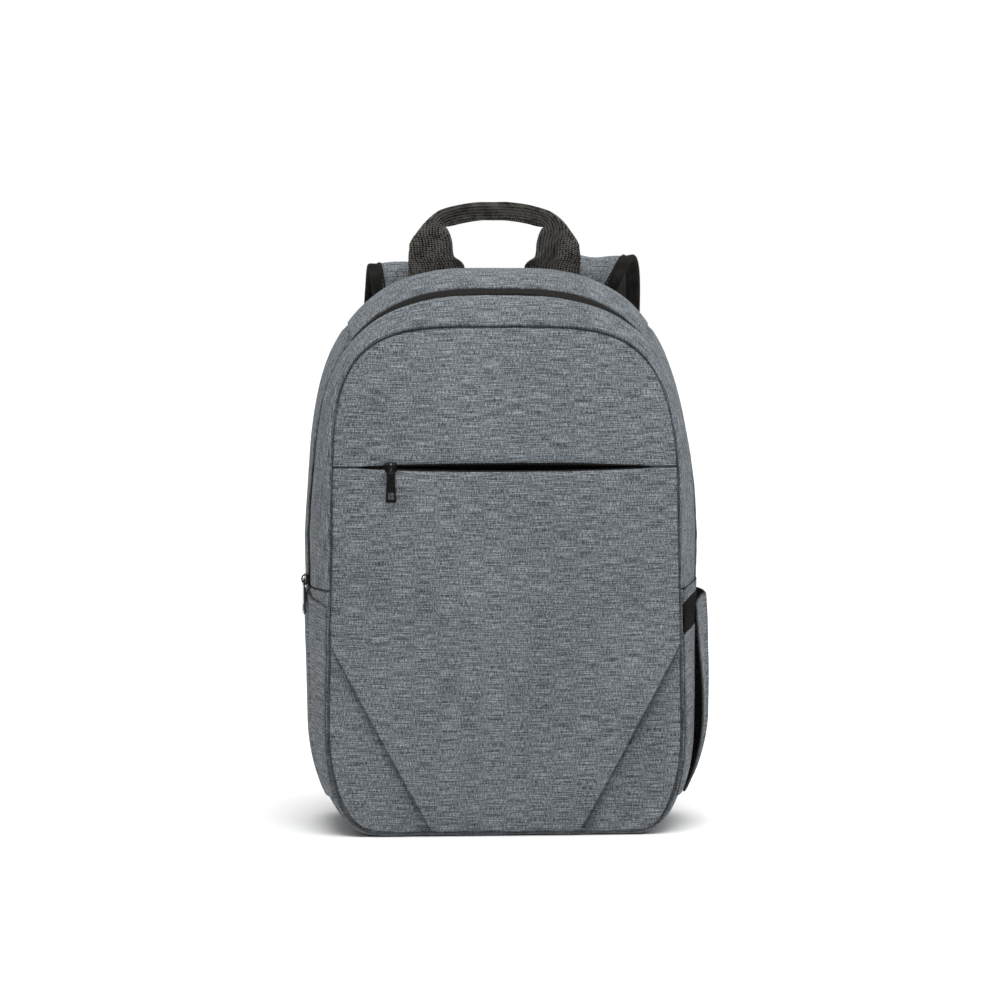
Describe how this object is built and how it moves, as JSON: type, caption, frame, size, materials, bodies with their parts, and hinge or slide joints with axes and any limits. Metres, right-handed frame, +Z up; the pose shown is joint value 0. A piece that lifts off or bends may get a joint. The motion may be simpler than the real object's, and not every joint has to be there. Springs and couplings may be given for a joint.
{
  "type": "laptop backpack",
  "caption": "Soft round-topped laptop backpack with a zipped front pocket, a bulging side pocket, a webbing handle and padded shoulder straps.",
  "frame": {"origin": "middle of the flat bottom, where the backpack stands", "axes": "+Z up, -Y towards the front with the slit pocket, +X towards the bulging side pocket"},
  "size_m": [0.3147, 0.1858, 0.4821],
  "materials": {
    "cloth": "grey melange woven polyester, matt",
    "dark_cloth": "black zip tape and pocket lining, matt",
    "webbing": "black woven webbing and edge tape, matt",
    "black_metal": "glossy black coated metal",
    "plastic": "satin black moulding"
  },
  "bodies": {
    "bag": {"front_gusset": "cloth", "rear_gusset": "cloth", "base_panel": "cloth", "side_panel_left": "cloth", "side_panel_right": "cloth", "front_panel_upper": "cloth", "front_panel_lower": "cloth", "corner_panel_left": "cloth", "corner_panel_right": "cloth", "back_panel": "cloth", "side_pocket_left": "cloth", "side_pleat_right": "cloth", "side_hem_right": "cloth", "side_pocket_right": "cloth", "shoulder_strap_left": "cloth", "shoulder_strap_right": "cloth", "strap_anchor_left": "cloth", "strap_anchor_right": "cloth", "main_zip": "dark_cloth", "front_pocket_back": "dark_cloth", "front_zip_tape_upper": "dark_cloth", "front_zip_tape_lower": "dark_cloth", "side_elastic_right": "webbing", "handle_webbing": "webbing", "strap_binding_outer_left": "webbing", "strap_binding_inner_left": "webbing", "strap_binding_outer_right": "webbing", "strap_binding_inner_right": "webbing", "lower_webbing_left": "webbing", "lower_webbing_right": "webbing", "front_slider": "black_metal", "main_slider": "black_metal", "strap_adjuster_left": "plastic", "strap_adjuster_right": "plastic"},
    "front_pull": {"front_pull": "black_metal"},
    "main_pull": {"main_pull": "black_metal"}
  },
  "joints": [
    {"name": "front_pull_swing", "type": "hinge", "parent": "bag", "child": "front_pull", "pos_m": [-0.086, -0.06499, 0.27831], "axis": [-1, 0, 0], "range_deg": [0, 160]},
    {"name": "main_pull_swing", "type": "hinge", "parent": "bag", "child": "main_pull", "pos_m": [-0.15138, -0.0171, 0.19134], "axis": [-0.174, 0.9847, 0], "range_deg": [0, 160]}
  ]
}
